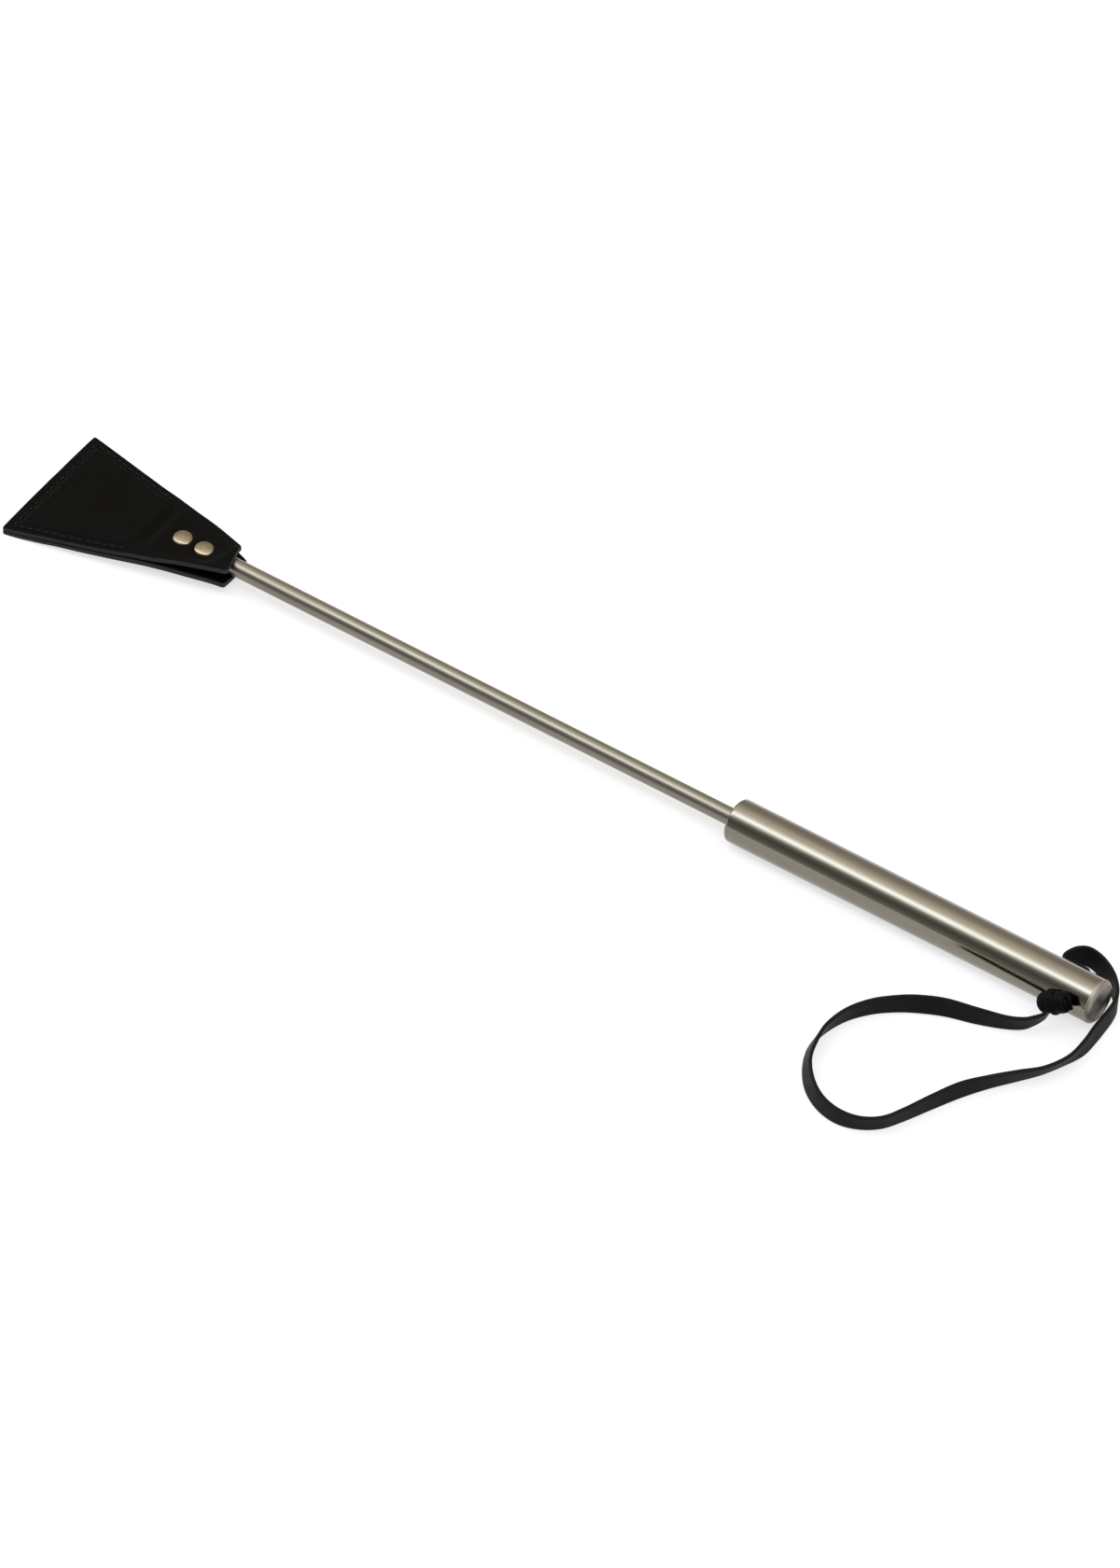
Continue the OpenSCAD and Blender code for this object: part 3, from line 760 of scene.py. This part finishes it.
def make_shaft():
    """The shaft: a round tube whose end in the flap is pressed flat, with holes for the rivets."""
    round_x, flat_x = TOP_END_X - 3, TOP_END_X - 13
    tang_mid_z = AXIS_Z - SHAFT_R + TANG_T / 2
    stations = [TANG_TIP_X, TANG_TIP_X + 0.6, TANG_TIP_X + 1.5]
    stations += list(np.linspace(TANG_TIP_X + 4, flat_x, 10))
    stations += list(np.linspace(flat_x + 1, round_x, 10))
    stations += list(np.linspace(round_x + 4, SHAFT_END_X, 60))
    sides = 72
    angles = np.linspace(0, 2 * math.pi, sides, endpoint=False)
    rings = []
    for x in stations:
        share = float(smooth((x - flat_x) / (round_x - flat_x)))
        tip = 1 - 0.5 * float(1 - smooth((x - TANG_TIP_X) / 1.5))
        half_w = (TANG_W / 2 + (SHAFT_R - TANG_W / 2) * share) * tip
        half_h = TANG_T / 2 + (SHAFT_R - TANG_T / 2) * share
        mid_z = tang_mid_z + (AXIS_Z - tang_mid_z) * share
        power = 2 / (5 - 3 * share)
        for a in angles:
            c, s = math.cos(a), math.sin(a)
            rings.append([x, half_w * math.copysign(abs(c) ** power, c),
                          mid_z + half_h * math.copysign(abs(s) ** power, s)])
    shaft = make_piece("shaft_steel_tube", rings, ring_faces(len(stations), sides), SHAFT_STEEL)
    for x in RIVET_X:
        drill(shaft, rod_between((x, 0, 0), (x, 0, 14), RIVET_HOLE_R, segments=40))
    crisp(shaft)
    settle(shaft, "crop_frame", "shaft")


# ---------- flap ----------

# heights in millimetres along the flap: the upper face of the top layer at its sides and along its
# middle, and the underside of the bottom layer at its sides and along its middle
TOP_SIDE = [(-304, 4.5), (-254, 9.4), (-238, 11.7), (-227, 12.9), (-216, 14.7), (-200, 16.4), (-190, 17.0)]
TOP_MIDDLE = [(-304, 4.5), (-243, 9.6), (-239.5, 10.2), (-234, 12.85), (-206, 12.85), (-197, 18.3),
              (-190, 18.3)]
BOTTOM_SIDE = [(-304, 0), (-295, 0.2), (-285, 1.2), (-275, 2.4), (-260, 3.4), (-250, 4.3), (-240, 5.2),
               (-231, 6.0), (-221, 6.0), (-210, 5.7), (-203, 5.5), (-197, 5.0), (-190, 3.8)]
BOTTOM_MIDDLE = [(-304, 0), (-240, 3.9), (-190, 3.95)]
LAYER_T = 2.85

# outline: corner radii, how far the far edge bows out, and where the narrow end's slant starts
FAR_CORNER_R, END_CORNER_R = 1.2, 1.4
FAR_BOW = 0.7
SLANT_X = -215

# relief: the raised field inside the stitches, the crease where the flap bends, the stitches' grooves
FIELD_RAISE = 1.35
FIELD_INSET, FIELD_FAR_INSET, FIELD_END_X, FIELD_SLOPE_W = 4.2, 5.2, -246, 2.2
CREASE_DEPTH = 0.75
GROOVE_W, TOP_GROOVE_DEPTH, BOTTOM_GROOVE_DEPTH = 0.55, 0.38, 0.3
STITCH_INSET, STITCH_FAR_INSET = 3.2, 4.0
STITCH_PITCH, STITCH_L = 4.2, 2.8

# level down a cut edge as a share of its height, and how far it bulges out there
EDGE_BULGE = [(0.06, 0.55), (0.16, 0.9), (0.35, 1.0), (0.65, 1.0), (0.84, 0.9), (0.94, 0.55)]

# how the sides taper inwards along the flap, and a side's length over its length along X
SIDE_SLOPE = (FAR_HALF_W - TOP_END_HALF_W) / (TOP_END_X - FAR_X)
SIDE_STRETCH = math.sqrt(1 + SIDE_SLOPE * SIDE_SLOPE)


def half_width(x, side, end_x, end_half_w):
    """Half width of a layer at x on its side towards +Y (1) or -Y (-1), before its corners are rounded.

    The sides bow out by 0.9 mm towards +Y and by 1.2 mm towards -Y.
    """
    along = (x - FAR_X) / (end_x - FAR_X)
    bow = 4 * along * (1 - along) * (1.05 - 0.15 * side)
    return FAR_HALF_W + (end_half_w - FAR_HALF_W) * along + bow


def inset(x, y):
    """Distance in from the flap's sides and far end."""
    from_side = (half_width(x, np.sign(y), TOP_END_X, TOP_END_HALF_W) - np.abs(y)) / SIDE_STRETCH
    return from_side, x - FAR_X


def corner_lift(x, y):
    """How far the flap's far corner towards +Y curls up from the surface."""
    lift, reach_x, start_y, reach_y = 0.8, 46, 6, 31
    return lift * smooth((FAR_X + reach_x - x) / reach_x) * smooth((y - start_y) / reach_y)


def side_share(x, y, end_x, end_half_w):
    """0 along the middle of the flap and 1 at its sides, where the rivets pull the middle down."""
    width = half_width(x, np.sign(y), end_x, end_half_w)
    flat_half_w = 4.5
    wide = smooth(np.abs(y) / width)
    pinched = smooth((np.abs(y) - flat_half_w) / (width - flat_half_w))
    near_rivets = smooth((x - FLEX_X + 6) / 10)
    return wide + (pinched - wide) * near_rivets


def undulation(x, y, seed):
    """Slow unevenness of the leather, within about a fifth of a millimetre."""
    values = [noise.noise(Vector((a / 17, b / 13, seed))) for a, b in zip(np.ravel(x), np.ravel(y))]
    return 0.2 * np.reshape(values, np.shape(x))


def stitch_groove(x, from_side, from_end):
    """How far a face is pressed in along the rows of stitches, from 0 to 1."""
    on_blade = 1 - smooth((x - FLEX_X + 1) / 3)
    along_sides = bell((from_side - STITCH_INSET) / GROOVE_W) * on_blade * (from_end > STITCH_FAR_INSET)
    along_end = bell((from_end - STITCH_FAR_INSET) / GROOVE_W) * (from_side > STITCH_INSET)
    return along_sides + along_end


def top_height(x, y):
    """Height of the top layer's upper face."""
    share = side_share(x, y, TOP_END_X, TOP_END_HALF_W)
    height = curve(TOP_MIDDLE, x, 1.5) * (1 - share) + curve(TOP_SIDE, x) * share
    from_side, from_end = inset(x, y)
    field = smooth((from_side - FIELD_INSET) / FIELD_SLOPE_W) * (1 - smooth((x - FIELD_END_X) / 6))
    field = field * smooth((from_end - FIELD_FAR_INSET) / FIELD_SLOPE_W)
    crease = bell((x - FLEX_X + 1 + 0.06 * y) / 1.2) * smooth((y + 12) / 6) * (1 - smooth((y - 13) / 7))
    height = height + FIELD_RAISE * field - CREASE_DEPTH * crease
    height = height - TOP_GROOVE_DEPTH * stitch_groove(x, from_side, from_end)
    for rivet_x in RIVET_X:
        away = np.hypot(x - rivet_x, y)
        seat, swell = 1 - smooth((away - 4.2) / 1.2), bell((away - 7.0) / 1.6)
        height = height - 0.25 * seat + 0.35 * swell
    return height + corner_lift(x, y) + undulation(x, y, 1.0)


def bottom_height(x, y):
    """Height of the bottom layer's underside."""
    share = side_share(x, y, BOTTOM_END_X, BOTTOM_END_HALF_W)
    height = curve(BOTTOM_MIDDLE, x) * (1 - share) + curve(BOTTOM_SIDE, x) * share
    height = height + BOTTOM_GROOVE_DEPTH * stitch_groove(x, *inset(x, y))
    lowest = 0.02
    return np.maximum(height + corner_lift(x, y) + undulation(x, y, 5.0) * smooth(height / 2), lowest)


def layer_thickness(x, y):
    """Thickness of one layer, which fills half the height of the flap at its stitched rim."""
    joint, most = 0.03, 3.1
    pressed = (curve(TOP_SIDE, x) - curve(BOTTOM_SIDE, x)) / 2 - joint
    from_side, from_end = inset(x, y)
    rim = 1 - smooth((np.minimum(from_side, from_end) - 2) / 4)
    return LAYER_T + (np.minimum(pressed, most) - LAYER_T) * rim


def layer_grid(end_x, end_half_w, slant, rows, columns):
    """A function that gives x and y of a layer's grid points, drawn in from its outline.

    slant is how much nearer to the far edge the narrow end's corner towards +Y is than its middle.
    """
    quarter = 1 - np.cos(np.radians(np.arange(0, 90, 15)))
    far_rows = FAR_X + FAR_CORNER_R * quarter
    near_rows = end_x - END_CORNER_R * quarter[::-1]
    middle = np.linspace(far_rows[-1], near_rows[0], rows + 2)[1:-1]
    stations = np.concatenate([far_rows, middle, near_rows])
    across = np.linspace(-1, 1, columns + 1)

    def rounding(x, radius, end):
        """How much a rounded corner at that end takes off the half width at x."""
        gone = np.clip(radius - np.abs(x - end), 0, radius)
        return radius - np.sqrt(radius * radius - gone * gone)

    def place(edge):
        """The grid points' x and y, drawn in by that much on all sides."""
        grow = 1 - 2 * edge / (end_x - FAR_X)
        x = (stations - stations.mean()) * grow + stations.mean()
        gone = rounding(stations, END_CORNER_R, end_x) + rounding(stations, FAR_CORNER_R, FAR_X) + edge
        left = half_width(stations, 1, end_x, end_half_w) - gone
        right = half_width(stations, -1, end_x, end_half_w) - gone
        y = across[None, :] * np.where(across[None, :] > 0, left[:, None], right[:, None])
        x = x[:, None] - slant * across[None, :] * smooth((stations[:, None] - SLANT_X) / 20)
        x = x - FAR_BOW * (1 - across[None, :] ** 2) * (1 - smooth((stations[:, None] - FAR_X) / 30))
        return x, y

    return place


def grid_border(rows, columns):
    """Rows and columns of a grid's outer points, once round."""
    border = [(0, j) for j in range(columns)] + [(i, columns - 1) for i in range(1, rows)]
    border += [(rows - 1, j) for j in range(columns - 2, -1, -1)] + [(i, 0) for i in range(rows - 2, 0, -1)]
    return np.array(border).T


def cut_edge(x_in, y_in, x_out, y_out, upper, lower):
    """Rings of points down a cut edge, which bulges from the inner line to the outer one and is frayed."""
    high, low = upper(x_out, y_out), lower(x_out, y_out)
    fray = np.array([noise.noise(Vector((x / 2.3, y / 2.3, 3.0))) for x, y in zip(x_out, y_out)])
    rings = []
    for level, bulge in EDGE_BULGE:
        reach = bulge + 0.06 * fray * math.sin(math.pi * level)
        x = x_in + (x_out - x_in) * reach
        y = y_in + (y_out - y_in) * reach
        rings.append(np.stack([x, y, high + (low - high) * level], axis=-1))
    return rings


def sheet_faces(rows, columns, border):
    """Quads of a sheet's two grids, and then of its cut edge from the upper grid down to the lower one."""
    size, turn = rows * columns, len(border)
    grids = []
    for i in range(rows - 1):
        for j in range(columns - 1):
            corner = i * columns + j
            grids.append((corner, corner + columns, corner + columns + 1, corner + 1))
            under = size + corner
            grids.append((under, under + 1, under + columns + 1, under + columns))
    loops = [border]
    loops += [2 * size + level * turn + np.arange(turn) for level in range(len(EDGE_BULGE))]
    loops += [size + border]
    edge = []
    for first, second in zip(loops, loops[1:]):
        for k in range(turn):
            n = (k + 1) % turn
            edge.append((first[k], first[n], second[n], second[k]))
    return grids, edge


def leather_layer(name, place, upper, lower, nodes):
    """A closed sheet of leather between two height functions, with rounded cut edges."""
    edge_r, bend_reach = 0.4, 7.0
    x_in, y_in = place(edge_r)
    x_out, y_out = place(0.0)
    rows, columns = x_in.shape
    i, j = grid_border(rows, columns)
    heights = upper(x_in, y_in), lower(x_in, y_in)
    points = [np.stack([x_in, y_in, z], axis=-1).reshape(-1, 3) for z in heights]
    points += cut_edge(x_in[i, j], y_in[i, j], x_out[i, j], y_out[i, j], upper, lower)
    grids, edge = sheet_faces(rows, columns, i * columns + j)
    layer = make_piece(name, np.concatenate(points), grids + edge, LEATHER)
    layer.data.materials.append(LEATHER_EDGE)
    turn = len(i)
    materials = np.zeros(len(grids) + len(edge), np.int32)
    materials[len(grids) + turn:-turn] = 1
    layer.data.polygons.foreach_set("material_index", materials)
    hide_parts(*nodes)
    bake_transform(layer)


def make_top_leather():
    """The top layer, one sheet from the far edge to over the shaft."""
    place = layer_grid(TOP_END_X, TOP_END_HALF_W, slant=1.8, rows=150, columns=132)
    leather_layer("top_leather", place, top_height,
                  lambda x, y: top_height(x, y) - layer_thickness(x, y),
                  ["top_leather_root", "top_leather_blade"])


def make_bottom_leather():
    """The bottom layer, one sheet under the shaft, a little wider than the top layer."""
    place = layer_grid(BOTTOM_END_X, BOTTOM_END_HALF_W, slant=0.0, rows=120, columns=100)
    leather_layer("bottom_leather", place,
                  lambda x, y: bottom_height(x, y) + layer_thickness(x, y), bottom_height,
                  ["bottom_leather_root", "bottom_leather_blade"])


def stitch_places():
    """Middle and direction of every stitch: along both sides, and along the far end."""
    side = STITCH_INSET * SIDE_STRETCH
    first_x, last_x = FAR_X + STITCH_FAR_INSET, FLEX_X - 4
    places = []
    for i in range(1, int((last_x - first_x) / STITCH_PITCH) + 1):
        x = first_x + i * STITCH_PITCH
        for s in (-1, 1):
            y = s * (half_width(x, s, TOP_END_X, TOP_END_HALF_W) - side)
            places.append((np.array([x, y]), unit(np.array([1.0, -s * SIDE_SLOPE]))))
    far_half = half_width(first_x, 0, TOP_END_X, TOP_END_HALF_W) - side
    count = int(2 * far_half / STITCH_PITCH)
    for i in range(count + 1):
        places.append((np.array([first_x, (i - count / 2) * STITCH_PITCH]), np.array([0.0, 1.0])))
    return places


def stitch_points(middle, direction, height, side):
    """Rings of one stitch that dips into the leather at both ends. side is 1 above and -1 below."""
    rings = []
    steps, sides, radius, rise, dip, flatness = 8, 8, 0.36, 0.34, 0.75, 0.85
    normal = np.array([-direction[1], direction[0], 0.0])
    for i in range(steps + 1):
        share = 2 * i / steps - 1
        at = middle + direction * share * STITCH_L / 2
        z = float(height(at[:1], at[1:])[0]) + side * (rise - dip * share ** 4)
        thin = radius * math.sqrt(1 - 0.6 * share ** 6)
        for k in range(sides):
            a = 2 * math.pi * k / sides
            rings.append(np.array([at[0], at[1], z]) + normal * thin * math.cos(a)
                         + np.array([0, 0, thin * flatness * math.sin(a)]))
    return rings, ring_faces(steps + 1, sides)


def make_stitches():
    """All stitches of the flap, on both faces, as one piece of thread."""
    points, faces = [], []
    for middle, direction in stitch_places():
        for height, side in ((top_height, 1), (bottom_height, -1)):
            rings, quads = stitch_points(middle, direction, height, side)
            faces += [tuple(len(points) + v for v in quad) for quad in quads]
            points += rings
    lowest = 0.03
    points = np.array(points)
    points[:, 2] = np.maximum(points[:, 2], lowest)
    stitches = make_piece("flap_stitches", points, faces, THREAD)
    settle(stitches, "flap", "edge_stitching")


# ---------- rivets ----------

def dome_profile(radius):
    """[height, radius] points of a rivet's domed cap, its rim and the short stem under it."""
    height = 1.9
    angles = np.radians((1, 8, 16, 24, 32, 40, 48, 56, 64, 71, 77, 82, 86, 89))
    dome = [[height * math.cos(a) ** 0.85, radius * math.sin(a)] for a in angles]
    rim = [[-0.05, radius], [-0.22, radius - 0.12], [-0.25, radius - 0.6]]
    stem = [[-0.25, 0.95], [-3.0, 0.9], [-3.0, 0.02]]
    return dome + rim + stem


def foot_profile(radius, height):
    """[height, radius] points of a rivet's post and its flat foot, which is hollow underneath."""
    post_r = 1.7
    post = [[height, 0.02], [height, post_r]]
    rim = [[1.0, post_r], [1.0, radius - 0.3], [0.8, radius], [0.45, radius], [0.15, radius - 0.35],
           [0.0, radius - 0.9]]
    hollow = [[0.0, 2.2], [0.15, 1.7], [0.6, 1.4], [0.7, 0.02]]
    return post + rim + hollow


def make_rivets():
    """Two rivets: a domed cap on the top layer and a flat foot under the bottom layer."""
    sunk = 0.15
    head_z = top_high[2] - (2 * SHAFT_R - TANG_T) - sunk
    for which, rivet_x in zip(("front", "rear"), RIVET_X):
        cap, base = f"{which}_rivet_cap", f"{which}_rivet_base"
        cap_low, cap_high = box_mm(cap)
        base_low, base_high = box_mm(base)
        dome = dome_profile((cap_high[1] - cap_low[1]) / 2)
        foot = foot_profile((base_high[1] - base_low[1]) / 2, base_high[2] - base_low[2])
        for part, node, z, profile in (("dome", cap, head_z, dome), ("foot", base, base_low[2], foot)):
            points, faces = turned(profile[::-1], 72, closed=False)
            piece = make_piece(f"{which}_rivet_{part}", upright(points, rivet_x, z), faces, NICKEL)
            crisp(piece, 50)
            settle(piece, "crop_frame", node)


# ---------- hidden pieces ----------

def dress_hidden_nodes():
    """Materials of the CAD nodes that stay: the bush and the pin in the handle, and the stiffener."""
    looks = {
        "anchor_bush": plain_metal("bush_aluminium", (0.66, 0.66, 0.66), 0.3, 0.42),
        "anchor_pin": plain_metal("pin_steel", (0.48, 0.47, 0.45), 0.25, 0.35),
        "paddle_core": fibre_board(),
    }
    for node, material in looks.items():
        piece = frame["nodes"][node]
        piece.data.materials.clear()
        piece.data.materials.append(material)


# ---------- the whole ----------

make_camera()
strap, strap_path = make_strap()
knot = make_knot()
make_studio()
make_floor()
make_handle()
make_butt_plug()
make_front_collar()
make_shaft()
make_top_leather()
make_bottom_leather()
make_stitches()
make_rivets()
dress_hidden_nodes()

bpy.context.scene.view_settings.view_transform = "Standard"
